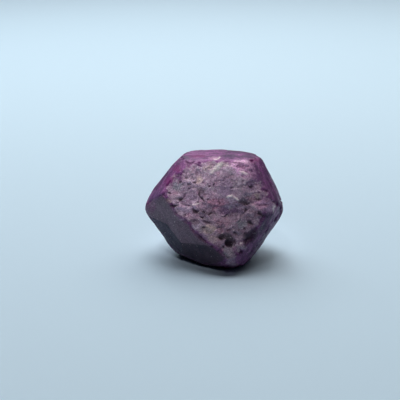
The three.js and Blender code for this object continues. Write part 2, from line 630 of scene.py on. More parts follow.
class HabitTree(GrowthTree):
    """Moves each point of the ball out to the faces, with edges that are a little rounded.

    A point in direction d lies at size * (sum of (n.d / h)^sharpness)^(-1 / sharpness), where n is
    each face's normal and h its distance divided by the size. A face that is broken into facets
    counts once, by the facet that cuts deepest, so the facets meet at crisp edges. The same sum
    blends what the faces wear, so one face's look runs into the next one's at their edge.
    """

    def __init__(self) -> None:
        """Builds the tree."""
        super().__init__(
            "Crystal habit", planes="Object", plane_count="Int", middle="Vector", size="Float",
            sharpness="Float", sway="Float", skin_sway="Float", sway_scale="Float",
            material="Material")
        direction = self.out("GeometryNodeInputPosition")
        planes = self.points_of("planes")
        loop = Loop(self, self.given["plane_count"], Sum="FLOAT", Peak="FLOAT", Tone="FLOAT",
                    Group="FLOAT", GroupTone="FLOAT", Crust="FLOAT", Bare="FLOAT", Dress="VECTOR")
        outward = self.sampled(planes, "outward", loop.turn, TRIPLE)
        dress = self.sampled(planes, "dress", loop.turn, TRIPLE)
        tone, ends, face, distance = [self.sampled(planes, name, loop.turn)
                                      for name in ("tone", "last", "face", "distance")]
        least_skin, stride = 0.8, 3.7
        skinned = self.split(dress)[0] > least_skin
        apart = self.joined(face, 0.0, 0.0) * stride
        sway = self.noise(direction + apart, self.given["sway_scale"], detail=2.0)
        sway = (sway - 0.5) * self.mixed(skinned, self.given["sway"], self.given["skin_sway"])
        ratio = self.dot(outward, direction) / (distance - sway)
        group_tone = self.mixed(ratio > loop["Group"], loop["GroupTone"], tone)
        group = self.most(loop["Group"], ratio)
        done = self.most(group, 0.0) * ends
        pull = done ** self.given["sharpness"]
        crust = done * skinned
        loop["Tone"] = self.mixed(pull > loop["Peak"], loop["Tone"], group_tone)
        loop["GroupTone"] = group_tone
        loop["Sum"] += pull
        loop["Peak"] = self.most(loop["Peak"], pull)
        loop["Group"] = group * (1.0 - ends)
        loop["Crust"] = self.most(loop["Crust"], crust)
        loop["Bare"] = self.most(loop["Bare"], done - crust)
        loop["Dress"] += dress * pull
        self.move_out(direction, loop)

    def move_out(self, direction: Value, found: Loop) -> None:
        """Moves the points and stores what they wear.

        Args:
            direction: where each point of the ball is.
            found: the loop over the planes.
        """
        total, size = found.result("Sum"), self.given["size"]
        reach = total ** (-1.0 / self.given["sharpness"]) * size
        ahead = found.result("Crust") - found.result("Bare")
        held = self.stored(
            self.given["geometry"], dress=found.result("Dress") * (1.0 / total),
            edge=total / found.result("Peak") - 1.0, lead=ahead * (size / MM),
            tone=found.result("Tone"))
        self.finish(self.moved(held, position=direction * reach + self.given["middle"]))


# ---- Weathering ---------------------------------------------------------------------------


class Stain(Enum):
    """What a mark's floor gets: painted shade, a pale colour that is partly a painted highlight,
    and gloss.
    """

    SHADE = (1.0, 0.0, 0.0)
    BRUISE = (0.5, 0.0, 0.0)
    SCAR = (0.0, 1.0, 0.3)
    GLINT = (0.0, 1.0, 0.8)
    CLEAN = (0.0, 0.0, 0.0)


@dataclass(frozen=True)
class Spot:
    """A mark or a patch, on the front face's plane.

    Attributes:
        right: how far right of the face's middle.
        up: how far up the face from its middle.
        length: half its length.
        width: half its width.
    """

    right: float
    up: float
    length: float
    width: float

    def outline(self, front: float, down: float, slant: float) -> dict:
        """Its middle, and its axes as directions that measure 1 at its outline.

        Args:
            front: how far the front face is along the c axis.
            down: how far it reaches below the face.
            slant: degrees that its length is turned from the face's right.

        Returns:
            The vectors by name, in the crystal's own directions.
        """
        turn = math.radians(slant)
        return {"place": Vector((self.right, self.up, front)),
                "along": Vector((math.cos(turn), math.sin(turn), 0)) / self.length,
                "across": Vector((-math.sin(turn), math.cos(turn), 0)) / self.width,
                "down": Vector((0, 0, 1 / down))}


@dataclass(frozen=True)
class Mark(Spot):
    """One of the pits, cracks, scars and lips on the front face, whose floor gets painted shade or
    a pale colour that is partly a painted highlight.

    Attributes:
        depth: how deep it is, or how proud if it is negative.
        slant: degrees that its length is turned from the face's right.
        stain: what its floor gets: painted shade, or a pale colour and gloss.
        down: how far it reaches below the face.
    """

    depth: float
    slant: float = 0.0
    stain: Stain = Stain.SHADE
    down: float = 6.0

    def row(self, front: float) -> dict:
        """The mark for a point cloud, on the plane that is so far along the c axis."""
        own = {"depth": self.depth, "stain": self.stain.value}
        return self.outline(front, self.down, self.slant) | own


MARKS = (
    Mark(-2.7, 1.2, 0.50, 0.24, 0.50, -68),
    Mark(-2.1, 0.2, 0.80, 0.20, 0.55, -52),
    Mark(-4.9, 2.3, 0.32, 0.28, 0.30),
    Mark(-3.9, 3.8, 0.36, 0.30, 0.30, 20),
    Mark(0.3, 3.5, 0.42, 0.22, 0.28, 35),
    Mark(-0.4, 2.9, 0.30, 0.20, 0.25),
    Mark(-8.2, -1.4, 1.00, 0.30, 0.40, -4),
    Mark(-6.9, 0.1, 0.70, 0.40, 0.30, 20, Stain.BRUISE),
    Mark(-3.6, -2.5, 0.70, 0.45, 0.50, -20),
    Mark(-1.4, -2.6, 0.50, 0.34, 0.35),
    Mark(-0.2, -2.9, 0.62, 0.36, 0.40, 20),
    Mark(0.8, -2.8, 0.40, 0.30, 0.35, -10),
    Mark(-2.1, -3.9, 0.50, 0.32, 0.35, -30),
    Mark(-3.8, -4.8, 1.00, 0.60, 0.30, 10, Stain.BRUISE),
    Mark(-0.8, -4.8, 1.05, 0.40, 0.45, -8),
    Mark(-1.6, -5.9, 0.45, 0.28, 0.30, 15),
    Mark(3.2, -3.2, 0.80, 0.36, 0.30, 5, Stain.BRUISE),
    Mark(8.3, -4.6, 0.72, 0.50, 0.50, -25),
    Mark(8.2, -4.0, 0.85, 0.20, -0.14, -20, Stain.CLEAN),
    Mark(5.2, -7.0, 0.60, 0.42, 0.35),
    Mark(2.6, -7.9, 1.05, 0.50, 0.45, 10, Stain.BRUISE),
    Mark(4.0, -9.2, 0.85, 0.85, 0.80, 30),
    Mark(8.3, -7.6, 1.80, 0.85, 0.70, 46, Stain.BRUISE),
    Mark(-2.1, -8.2, 1.25, 0.28, 0.35, -35),
    Mark(3.9, -12.3, 0.34, 0.30, 0.30),
    Mark(10.0, 0.4, 0.40, 0.26, 0.30),
    Mark(10.6, -2.9, 1.30, 0.16, 0.22, -12),
    Mark(7.0, -0.4, 1.30, 0.60, 0.35, 0, Stain.BRUISE),
    Mark(6.8, -9.7, 0.95, 0.70, -0.35, 10, Stain.CLEAN),
    Mark(-0.2, 6.6, 1.20, 0.20, -0.10, 15, Stain.CLEAN),
    # Pale marks: chips and scars whose pale colour is partly a painted highlight, then glint marks
    # that are painted glints.
    Mark(0.7, 7.0, 2.20, 0.58, -0.34, 42, Stain.SCAR),
    Mark(6.6, 6.0, 1.00, 0.40, -0.18, -14, Stain.SCAR),
    Mark(13.1, -1.0, 1.30, 0.22, -0.10, 86, Stain.SCAR),
    Mark(0.4, 9.2, 0.60, 0.40, 0.0, 2, Stain.SCAR),
    Mark(1.1, 9.9, 0.80, 0.40, 0.0, 75, Stain.SCAR),
    Mark(3.8, 0.7, 0.85, 0.24, -0.22, 16, Stain.GLINT),
    Mark(5.2, 0.3, 0.85, 0.24, -0.22, -36, Stain.GLINT),
    Mark(6.4, -9.1, 0.45, 0.16, -0.05, 20, Stain.GLINT),
    Mark(-3.6, -1.1, 1.60, 0.16, -0.06, 16, Stain.GLINT),
)


class Tint(Enum):
    """A stain's colour, or the dark of painted shade."""

    CREAM = (0.840, 0.720, 0.680)
    TAN = (0.720, 0.540, 0.520)
    LILAC = (0.720, 0.570, 0.700)
    ROSE = (0.640, 0.330, 0.560)
    MAGENTA = (0.260, 0.030, 0.190)
    VIOLET = (0.165, 0.070, 0.220)
    MAUVE = (0.330, 0.225, 0.360)
    STEEL = (0.460, 0.430, 0.520)
    RUST = (0.340, 0.150, 0.240)
    ROSEWOOD = (0.520, 0.250, 0.380)
    UMBER = (0.190, 0.130, 0.160)
    INDIGO = (0.080, 0.032, 0.125)
    INK = (0.038, 0.018, 0.048)
    BLOSSOM = (0.920, 0.520, 0.820)


@dataclass(frozen=True)
class Patch(Spot):
    """A stain or a patch of painted shade, with a ragged outline, which reaches from the front face
    back along the sides.

    Attributes:
        tint: its colour.
        slant: degrees that its length is turned from the face's right.
        strength: how strong it is.
        down: how far it reaches below the face.
    """

    tint: Tint
    slant: float = 0.0
    strength: float = 0.7
    down: float = 14.0

    def row(self, front: float) -> dict:
        """The patch for a point cloud, on the plane that is so far along the c axis."""
        own = {"strength": self.strength, "tint": self.tint.value}
        return self.outline(front, self.down, self.slant) | own


PATCHES = (
    Patch(-3.5, 4.5, 3.2, 1.8, Tint.LILAC, 5, 0.5),
    Patch(-7.0, -3.4, 2.4, 1.5, Tint.LILAC, -35, 0.45),
    Patch(-2.8, -6.4, 1.5, 0.8, Tint.LILAC, -35, 0.5),
    Patch(4.4, 6.4, 2.6, 1.1, Tint.STEEL, -5, 0.5),
    Patch(3.0, 2.6, 1.7, 2.4, Tint.MAUVE, 0, 0.75),
    Patch(5.9, 3.6, 1.5, 1.9, Tint.STEEL, 0, 0.45),
    Patch(8.2, 3.6, 1.1, 1.8, Tint.VIOLET, 10, 0.55),
    Patch(-4.8, 0.6, 2.1, 1.3, Tint.MAUVE, 0, 0.6),
    Patch(-7.6, 3.0, 1.4, 0.9, Tint.STEEL, 10, 0.75),
    Patch(-8.0, 4.8, 0.9, 0.8, Tint.CREAM, 0, 0.4),
    Patch(-2.8, 4.4, 0.7, 1.1, Tint.TAN, 0, 0.75),
    Patch(-1.2, 7.0, 1.6, 0.7, Tint.TAN, 17, 0.5),
    Patch(1.9, 8.0, 1.6, 0.6, Tint.CREAM, 2, 0.5),
    Patch(-9.3, -0.5, 0.9, 0.7, Tint.TAN, 0, 0.6),
    Patch(-0.4, -6.3, 1.8, 1.1, Tint.TAN, 0, 0.75),
    Patch(0.4, -8.3, 1.5, 0.9, Tint.TAN, 0, 0.5),
    Patch(9.6, 1.3, 0.7, 0.8, Tint.TAN, 0, 0.7),
    Patch(6.6, -4.9, 1.4, 0.9, Tint.STEEL, 5, 0.8),
    Patch(6.8, -9.8, 1.1, 0.8, Tint.LILAC, 7, 0.8),
    Patch(3.8, -11.6, 1.8, 1.6, Tint.STEEL, 0, 0.4),
    Patch(-2.3, 2.0, 1.2, 0.8, Tint.UMBER, 0, 0.6),
    Patch(-7.1, 0.1, 1.6, 0.5, Tint.UMBER, 0, 0.6),
    Patch(-1.4, -2.9, 3.0, 0.8, Tint.UMBER, -4, 0.5),
    Patch(-3.5, -4.8, 1.6, 0.8, Tint.UMBER, 0, 0.5),
    Patch(3.2, -7.8, 1.9, 0.7, Tint.UMBER, 0, 0.8),
    Patch(7.2, -0.2, 1.7, 0.9, Tint.UMBER, 0, 0.6),
    # Painted shadow below the ledge.
    Patch(3.8, -2.2, 3.4, 0.8, Tint.VIOLET, 0, 0.65),
    Patch(1.2, -0.5, 2.4, 0.9, Tint.ROSEWOOD, -4, 0.85),
    Patch(2.5, -4.8, 1.9, 1.2, Tint.RUST, 0, 0.4),
    Patch(11.4, -0.8, 2.4, 1.6, Tint.BLOSSOM, 0, 1.0),
    # Painted shade in the seam at the right corner, in the big pit and in the dark hollow.
    Patch(11.2, -3.1, 1.9, 0.4, Tint.INK, 6, 0.5),
    Patch(4.0, -9.2, 0.9, 1.0, Tint.INK, 0, 0.9),
    Patch(8.4, -7.4, 2.3, 1.2, Tint.INK, 48, 0.8),
    Patch(6.2, 7.3, 2.6, 2.1, Tint.BLOSSOM, -25, 1.0),
    Patch(7.6, 6.6, 1.6, 0.9, Tint.ROSE, -55, 0.7),
    Patch(8.6, 5.8, 1.6, 0.6, Tint.ROSE, -64, 0.6),
    Patch(9.8, 4.6, 3.4, 0.8, Tint.VIOLET, -61, 0.45),
    Patch(8.9, 9.6, 1.2, 1.0, Tint.MAGENTA, 10, 0.7),
    Patch(3.2, 10.5, 2.0, 1.2, Tint.INDIGO, 0, 0.85),
    Patch(7.4, 10.8, 1.6, 1.0, Tint.INDIGO, -30, 0.6),
    Patch(4.6, 12.2, 3.6, 0.7, Tint.INDIGO, 0, 0.75),
    Patch(-3.0, 12.6, 2.4, 0.5, Tint.INDIGO, 0, 0.5),
    Patch(-6.0, 9.6, 1.2, 0.9, Tint.INDIGO, 35, 0.5),
    Patch(-4.8, 7.9, 1.8, 1.3, Tint.ROSE, 0, 0.4),
    Patch(-3.4, 10.2, 2.2, 0.8, Tint.MAGENTA, 0, 0.7),
    Patch(0.1, 9.7, 1.3, 0.9, Tint.ROSE, 0, 0.8),
    Patch(-7.8, 7.0, 1.1, 1.2, Tint.MAGENTA, 50, 0.8),
    Patch(-9.7, 4.1, 1.3, 1.3, Tint.MAGENTA, 50, 0.7),
    Patch(-12.4, 1.0, 1.9, 1.6, Tint.VIOLET, 48, 0.8),
    Patch(-13.4, -1.1, 1.6, 1.3, Tint.MAGENTA, 0, 1.0),
    Patch(-13.0, -0.6, 0.7, 0.5, Tint.ROSE, 0, 0.8),
    Patch(13.4, -1.4, 1.2, 0.9, Tint.ROSE, 80, 0.55),
    Patch(3.9, -11.7, 1.4, 1.4, Tint.LILAC, 0, 0.5),
)


@dataclass(frozen=True)
class Wear:
    """How weathered the crystal is.

    Attributes:
        ledge_depth: the step on the front face.
        terrace_height: one growth step on the skin.
        lump_depth: the lumps on the skin.
        grain_depth: the skin's grain.
        line_depth: the growth lines on the sides.
        line_spacing: the distance between them.
        chip_depth: what is lost from the edges.
        pit_density: small pits for each square metre of skin.
        pit_radius: the largest of them.
        pit_depth: the deepest of them.
    """

    ledge_depth: float = 0.7
    terrace_height: float = 0.20
    lump_depth: float = 0.5
    grain_depth: float = 0.22
    line_depth: float = 0.16
    line_spacing: float = 0.9
    chip_depth: float = 0.45
    pit_density: float = 0.3e6
    pit_radius: float = 0.45
    pit_depth: float = 0.35


class WeatherTree(GrowthTree):
    """Weathers the crystal: ledges, lumps and pits on its skin, growth lines on its sides."""

    def __init__(self) -> None:
        """Builds the tree, with an input for each measure of wear."""
        super().__init__(
            "Weathering", middle="Vector", right="Vector", up="Vector", along="Vector",
            marks="Object", mark_count="Int", patches="Object", patch_count="Int", seed="Int",
            material="Material", **{measure.name: "Float" for measure in fields(Wear)})
        self.place = self.out("GeometryNodeInputPosition")
        away = self.place - self.given["middle"]
        parts = [self.dot(away, self.given[axis]) for axis in ("right", "up", "along")]
        self.own = self.joined(*parts) * (1 / MM)
        self.swirled = self.own + (self.stray(self.own, 0.8, 0.9) + self.stray(self.own, 3.0, 0.45))
        self.skin = self.split(self.attribute("dress", TRIPLE))[0]
        self.smooth = self.plateau()
        self.rough = 1.0 - self.smooth * 0.85
        # The marks' stain holds painted shade on pit floors, and pale floors that are partly
        # painted highlights.
        drop, stain = self.marks()
        tint, cover = self.patches()
        pit, dark = self.small_pits()
        fine = self.lumps() + self.grain()
        for more in (self.ledge(), self.terraces(), fine, self.growth_lines(), self.chips(), pit):
            drop += more
        # hollow holds the relief that the material turns into painted shade in the hollows and
        # painted light on the knobs.
        held = self.stored(
            self.given["geometry"], hollow=fine + pit, plateau=self.smooth, tint_cover=cover,
            stain=stain + self.joined(dark, 0.0, 0.0), tint=tint)
        inward = self.out("GeometryNodeInputNormal") * (drop * -MM)
        x, y, z = self.split(self.place)
        rested = self.joined(x, y, self.most(z, 0.0))
        self.finish(self.moved(self.moved(held, offset=inward), position=rested))

    def plateau(self) -> Value:
        """How smooth the skin is: the plateau right of the face's middle is the smoothest.

        Returns:
            The smoothness.
        """
        middle, outline = (4.3, 3.2, 0.0), (1 / 3.8, 1 / 3.6, 0.0)
        away = self.length((self.swirled - middle) * outline)
        return self.ramp(away, 1.25, 0.7) * self.skin

    def reach(self, cloud: Value, turn: Value, place: Value) -> Value:
        """How far each point is from one mark or patch, where 1 is its outline.

        Args:
            cloud: the marks or patches.
            turn: which one.
            place: where each point is.

        Returns:
            The distance.
        """
        away = place - self.sampled(cloud, "place", turn, TRIPLE)
        parts = [self.dot(away, self.sampled(cloud, axis, turn, TRIPLE))
                 for axis in ("along", "across", "down")]
        return self.length(self.joined(*parts))

    def marks(self) -> tuple[Value, Value]:
        """The listed marks.

        Returns:
            How deep they go, and what their floors get: painted shade, pale colour and gloss.
        """
        marks = self.points_of("marks")
        loop = Loop(self, self.given["mark_count"], Drop="FLOAT", Stain="VECTOR")
        bowl = self.ramp(self.reach(marks, loop.turn, self.swirled), 1.3, 0.3)
        loop["Drop"] += bowl * self.sampled(marks, "depth", loop.turn)
        loop["Stain"] += self.sampled(marks, "stain", loop.turn, TRIPLE) * bowl
        return loop.result("Drop"), loop.result("Stain")

    def patches(self) -> tuple[Value, Value]:
        """The listed stains, a few of which are painted shade.

        Returns:
            Their colour, and how much they cover.
        """
        patches = self.points_of("patches")
        ragged = self.own + self.stray(self.own, 0.9, 2.2, detail=4.0)
        loop = Loop(self, self.given["patch_count"], Tint="VECTOR", Cover="FLOAT")
        inside = self.ramp(self.reach(patches, loop.turn, ragged), 1.35, 0.5)
        cover = inside * self.sampled(patches, "strength", loop.turn)
        total = cover + loop["Cover"] * (1.0 - cover)
        share = cover / self.most(total, 0.001)
        loop["Tint"] += (self.sampled(patches, "tint", loop.turn, TRIPLE) - loop["Tint"]) * share
        loop["Cover"] = total
        return loop.result("Tint"), loop.result("Cover")

    def ledge(self) -> Value:
        """The step below the plateau, which fades away down the face and to its sides.

        Returns:
            The drop.
        """
        middle, bow, brink = 2.6, 0.03, 1.1
        right, up, _ = self.split(self.swirled)
        below = (right - middle) ** 2.0 * bow - brink - up
        step = self.ramp(below, -0.1, 0.5) * self.ramp(below, 4.5, 0.5)
        span = self.ramp(right, -2.4, -0.6) * self.ramp(right, 8.6, 5.5)
        return step * span * self.skin * self.given["ledge_depth"]

    def terraces(self) -> Value:
        """Uneven growth steps all over the skin, which end before its border.

        Returns:
            The drop.
        """
        levels, surface = 8.0, 5.5
        level = self.noise(self.swirled, 0.2, detail=1.5) * levels
        floor = self.reckon("FLOOR", level)
        steps = surface - (floor + self.ramp(level - floor, 0.7, 1.0))
        inland = self.ramp(self.attribute("lead"), -0.2, 1.8)
        return steps * self.given["terrace_height"] * self.rough * inland

    def skin_share(self) -> Value:
        """How lumpy and grainy the surface is: faintly so on the sides."""
        faint = 0.12
        return self.mixed(self.skin, faint, self.rough)

    def lumps(self) -> Value:
        """Knobs and hollows a millimetre or two across, strong on the skin.

        Returns:
            The drop.
        """
        broad = self.noise(self.swirled, 0.34, detail=1.0)
        near = self.noise(self.swirled, 0.85, detail=2.5, roughness=0.55)
        return (1.0 - (broad * 0.9 + near)) * self.skin_share() * self.given["lump_depth"]

    def grain(self) -> Value:
        """The granular surface, coarse on the skin.

        Returns:
            The drop.
        """
        lumps = self.noise(self.swirled, 1.9, detail=4.0, roughness=0.62)
        sockets = {"Vector": self.swirled, "Scale": 1.5, "Randomness": 1.0}
        cells = self.out("ShaderNodeTexVoronoi", sockets, feature="F1")
        drop = (0.5 - lumps) + (cells - 0.45) * 0.5
        return drop * self.skin_share() * self.given["grain_depth"]

    def growth_lines(self) -> Value:
        """Fine steps across the c axis, on every face but the skin.

        Returns:
            The drop.
        """
        right, up, along = self.split(self.own)
        squeezed = self.joined(right * 0.12, up * 0.12, along / self.given["line_spacing"])
        steps = self.noise(squeezed, 1.0, detail=3.0, roughness=0.6)
        patch = self.ramp(self.noise(self.own, 0.3, detail=2.0), 0.35, 0.65)
        side = 1.0 - self.ramp(self.skin, 0.1, 0.6)
        return (0.6 - steps) * self.given["line_depth"] * patch * side

    def chips(self) -> Value:
        """Small pieces lost from the edges."""
        lost = self.ramp(self.noise(self.own, 0.9, detail=3.0), 0.48, 0.62)
        return lost * self.ramp(self.attribute("edge"), 0.1, 0.8) * self.given["chip_depth"]

    def small_pits(self) -> tuple[Value, Value]:
        """Pits strewn over the skin, fewer on the plateau and on the sides, more behind.

        Returns:
            How deep they go, and how much painted shade their floors get.
        """
        patch = self.ramp(self.noise(self.own, 0.35, detail=2.0), 0.4, 0.7)
        behind = self.ramp(self.split(self.own)[2], 0.0, -5.0, 1.0, 3.0)
        on_skin, off_plateau = self.skin * 0.92 + 0.08, 1.0 - self.smooth * 0.9
        wanted = on_skin * off_plateau * (patch * 0.8 + 0.2) * behind
        seed = self.given["seed"]
        sockets = {"Mesh": self.given["geometry"], "Seed": seed,
                   "Density": wanted * self.given["pit_density"]}
        strewn = self.out(
            "GeometryNodeDistributePointsOnFaces", sockets, distribute_method="RANDOM")
        smallest, rarity = 0.35, 1.6
        sockets = {"Min": smallest, "Max": 1.0, "Seed": seed}
        size = self.out("FunctionNodeRandomValue", sockets, data_type="FLOAT")
        points = self.stored(strewn, pit_size=size ** rarity)
        astray = (self.swirled - self.own) + self.stray(self.own, 1.6, 0.8)
        sought = self.place + astray * MM
        sockets = {"Geometry": points, "Sample Position": sought}
        nearest = self.out("GeometryNodeSampleNearest", sockets, domain="POINT")
        away = (sought - self.sampled(points, "position", nearest, TRIPLE)) * (1 / MM)
        size = self.sampled(points, "pit_size", nearest)
        bowl = self.ramp(self.length(away) / (size * self.given["pit_radius"]), 1.3, 0.2)
        depth = bowl * size * self.given["pit_depth"]
        return depth, bowl * self.ramp(size, 0.1, 0.7, 0.15, 0.85)


# ---- The finish ---------------------------------------------------------------------------


@dataclass(frozen=True)
class RubyFinish:
    """The look of opaque raw ruby: plum and magenta stone under a grey-mauve skin.

    Attributes:
        night: the darkest stone.
        plum: ordinary stone.
        magenta: strongly coloured stone.
        pink: the palest stone.
        slate: the bluish dark of the lower face, partly painted shade.
        soot: the brownish dark beside it, also partly painted shade.
        ash: the grey along its upper edge.
        skin_dark, skin_mid, skin_light: the weathered skin.
        rosy: where the stone's red shows through the skin.
        hollow: painted shade on the floors of pits.
        scar: pale scars and chips, and painted glints and highlights.
    """

    night: Colour = (0.026, 0.010, 0.036)
    plum: Colour = (0.075, 0.027, 0.098)
    magenta: Colour = (0.135, 0.036, 0.140)
    pink: Colour = (0.262, 0.090, 0.255)
    slate: Colour = (0.021, 0.017, 0.040)
    soot: Colour = (0.055, 0.041, 0.055)
    ash: Colour = (0.156, 0.110, 0.143)
    skin_dark: Colour = (0.236, 0.158, 0.224)
    skin_mid: Colour = (0.372, 0.250, 0.358)
    skin_light: Colour = (0.535, 0.410, 0.498)
    rosy: Colour = (0.380, 0.190, 0.270)
    hollow: Colour = (0.030, 0.012, 0.028)
    scar: Colour = (0.950, 0.830, 0.830)

    def build(self, axes: Axes) -> bpy.types.Material:
        """Makes the material.

        Args:
            axes: the crystal's directions, which the growth lines follow.

        Returns:
            The material.
        """
        material = bpy.data.materials.new("raw_ruby")
        material.use_nodes = True
        RubyShader(material.node_tree, axes, self)
        return material


class RubyShader(Graph):
    """The nodes of the ruby's material, which read the crystal's own place and its attributes."""

    def __init__(self, tree: bpy.types.NodeTree, axes: Axes, finish: RubyFinish) -> None:
        """Lays the nodes.

        Args:
            tree: the material's tree.
            axes: the crystal's directions.
            finish: the colours.
        """
        super().__init__(tree)
        self.finish = finish
        where = self.add("ShaderNodeTexCoord").outputs["Object"]
        sockets = {"Vector": Value(self, where), "Location": -(axes.turn @ axes.middle) / MM,
                   "Rotation": axes.turn.to_euler("XYZ"), "Scale": (1 / MM,) * 3}
        self.own = self.out("ShaderNodeMapping", sockets, vector_type="POINT")
        self.right, self.up, self.along = self.split(self.own)
        _, self.dusk, self.rose = self.split(self.read("dress", "Vector"))
        # The marks' painted shade, their pale floors that are partly painted highlights, and their
        # gloss.
        self.dark, self.pale, self.glossy = self.split(self.read("stain", "Vector"))
        self.edge, self.lead, self.facet, self.plateau = [
            self.read(name) for name in ("edge", "lead", "tone", "plateau")]
        grain = self.noise(self.own, 2.4, detail=5.0, roughness=0.68)
        self.grain = self.mixed(self.plateau * 0.6, grain, 0.5)
        self.skin = self.skin_cover()
        colour = self.tinted(self.skin, self.stone(), self.crust())
        colour = self.marked(self.shaded(self.stained(colour)))
        sockets = {
            "Base Color": colour, "Roughness": self.roughness(), "Normal": self.bumps(),
            "IOR": 1.55, "Specular IOR Level": 0.22, "Subsurface Weight": 0.06,
            "Subsurface Radius": (1.0, 0.25, 0.5), "Subsurface Scale": 0.6 * MM,
        }
        for name, value in sockets.items():
            self.feed(tree.nodes["Principled BSDF"], name, value)

    def read(self, name: str, output: str = "Fac") -> Value:
        """One of the mesh's attributes."""
        return Value(self, self.add("ShaderNodeAttribute", attribute_name=name).outputs[output])

    def squeezed(self, across: float, along: float) -> Value:
        """The place, stretched across the c axis or squeezed along it for growth lines."""
        return self.joined(self.right * across, self.up * across, self.along * along)

    def skin_cover(self) -> Value:
        """Where the skin is whole, with a ragged border and some haze beyond it.

        Returns:
            How much skin there is.
        """
        ragged = self.noise(self.own, 0.55, detail=6.0, roughness=0.62)
        low_left = self.right * -0.6 - self.up * 0.8
        wandering = (ragged - 0.5) * self.ramp(low_left, 3.0, 8.0, 5.5, 1.0)
        lost = (ragged - 0.42) * self.ramp(self.along, 0.0, -6.0, 0.0, 6.0)
        whole = self.ramp(self.lead + (wandering - lost * 2.5), 0.1, 0.9)
        haze = self.ramp(self.noise(self.own, 0.9, detail=6.0, roughness=0.7), 0.52, 0.72)
        thin = haze * (self.ramp(self.lead, -2.6, -0.2) * 0.35 + 0.2) * (1.0 - self.dusk)
        return self.most(whole, thin)

    def stone(self) -> Value:
        """The colour of the stone where it has no skin, very dark on the faces underneath, partly
        from painted shade.

        Returns:
            The colour.
        """
        look = self.finish
        broad = self.noise(self.own, 0.2, detail=2.0)
        cloud = self.noise(self.own, 0.75, detail=4.0, roughness=0.6, distortion=0.4)
        mottle = self.noise(self.own, 3.2, detail=3.0, roughness=0.65)
        streak = self.noise(self.squeezed(0.14, 1.3), 1.0, detail=4.0, roughness=0.65)
        rind = self.ramp(self.lead, -1.8, -0.1, 0.0, 0.14)
        tone = self.rose * 0.07 - 0.665 + broad * 0.35 + cloud * 0.75 + mottle * 0.45 + streak
        tone = tone + self.facet * 0.05 + rind
        base = self.gradient(tone, (0.34, look.night), (0.48, look.plum), (0.64, look.magenta),
                             (0.84, look.pink))
        # Dusky faces underneath: slate, soot and ash, dark partly as the stone's own colour and
        # partly as painted shade.
        tone = self.facet * 0.18 + 0.21 + broad * 0.3 + cloud * 0.22 + mottle * 0.12
        dusky = self.gradient(tone, (0.40, look.slate), (0.60, look.soot), (0.82, look.ash))
        colour = self.tinted(self.dusk * 0.9, base, dusky)
        # Paler, pinker stone towards the edges.
        edge_paling = self.ramp(self.edge, 0.15, 0.8) * self.ramp(cloud, 0.35, 0.6)
        return self.tinted(edge_paling * 0.4, colour, look.pink)

    def crust(self) -> Value:
        """The colour of the skin.

        Returns:
            The colour.
        """
        look = self.finish
        cloud = self.noise(self.own, 0.6, detail=5.0, roughness=0.62, distortion=0.3)
        base = self.gradient(cloud * 0.55 + self.grain * 0.55, (0.40, look.skin_dark),
                             (0.54, look.skin_mid), (0.70, look.skin_light))
        elsewhere = self.own + (31.0, 7.0, 3.0)
        shy = self.ramp(self.noise(elsewhere, 0.5, detail=5.0, roughness=0.6), 0.48, 0.66)
        base = self.tinted(shy * 0.5, base, look.rosy)
        return self.tinted(self.plateau * 0.4, base, look.skin_dark)

    def stained(self, colour: Value) -> Value:
        """The colour after the listed stains and patches of painted shade, which are weak on dusky
        faces.

        Args:
            colour: the colour below them.

        Returns:
            The colour.
        """
        cover = self.read("tint_cover") * self.mixed(self.dusk, 1.0, 0.45)
        broken = (self.grain - 0.5) * 0.9
        held = self.ramp(cover + broken, 0.1, 0.6) * cover
        bright = self.ramp(self.grain, 0.25, 0.75, 0.36, 0.96)
        return self.tinted(held, colour, self.read("tint", "Vector") * bright)

    def shaded(self, colour: Value) -> Value:
        """The colour after painted shade in the hollows and painted light on the knobs, and painted
        light and shade that run from bright at the upper left to dark at the lower right.

        Args:
            colour: the colour without them.

        Returns:
            The colour.
        """
        # Painted shade in the hollows and painted light on the knobs of the relief, weaker on the
        # stone.
        hollow_shade = self.ramp(self.read("hollow"), -0.2, 0.28, 1.15, 0.72)
        hollow_shade = self.mixed(self.skin, self.mixed(0.4, 1.0, hollow_shade), hollow_shade)
        # Painted light and shade: brighter towards the upper left and darker towards the lower
        # right, as the light from above falls on the crystal.
        slope = self.up - self.right * 0.8
        low = self.mixed(self.skin, self.ramp(slope, -18.0, 9.0, 0.74, 1.16),
                         self.ramp(slope, -18.0, 9.0, 0.81, 1.42))
        speckle = self.ramp(self.noise(self.own, 4.5, detail=1.0), 0.25, 0.75, 0.66, 1.34)
        behind = self.mixed(self.skin, 1.0, self.ramp(self.along, 0.0, -5.0, 1.0, 0.62))
        return colour * (hollow_shade * low * speckle * behind)

    def marked(self, colour: Value) -> Value:
        """The colour after painted shade in the pits, pale scars that are partly painted
        highlights, frosting and small painted glints.

        Args:
            colour: the colour without them.

        Returns:
            The colour.
        """
        look = self.finish
        speck = self.noise(self.own, 5.0, detail=2.0)
        # Painted shade on the floors of pits and dents.
        dark = self.capped(self.dark) * self.ramp(speck, 0.2, 0.8, 0.6, 0.95)
        # Pale floors of scars and chips, partly their own colour and partly painted highlights and
        # glints.
        pale = self.capped(self.pale) * self.ramp(speck, 0.3, 0.6, 0.45, 1.0)
        # Small painted glints strewn over the surface.
        painted_glints = self.noise(self.own + (5.0, 50.0, 9.0), 3.6, detail=0.0)
        painted_glints = self.ramp(painted_glints, 0.77, 0.85, 0.0, 0.7) * self.mixed(self.skin, 0.5, 1.0)
        frost = self.noise(self.own + (9.0, 3.0, 40.0), 4.2, detail=1.0)
        bare = 1.0 - self.most(self.skin, self.dusk)
        colour = self.tinted(dark, colour, look.hollow)
        colour = self.tinted(self.ramp(frost, 0.62, 0.76, 0.0, 0.5) * bare, colour, look.pink)
        return self.tinted(self.most(pale, painted_glints), colour, look.scar)

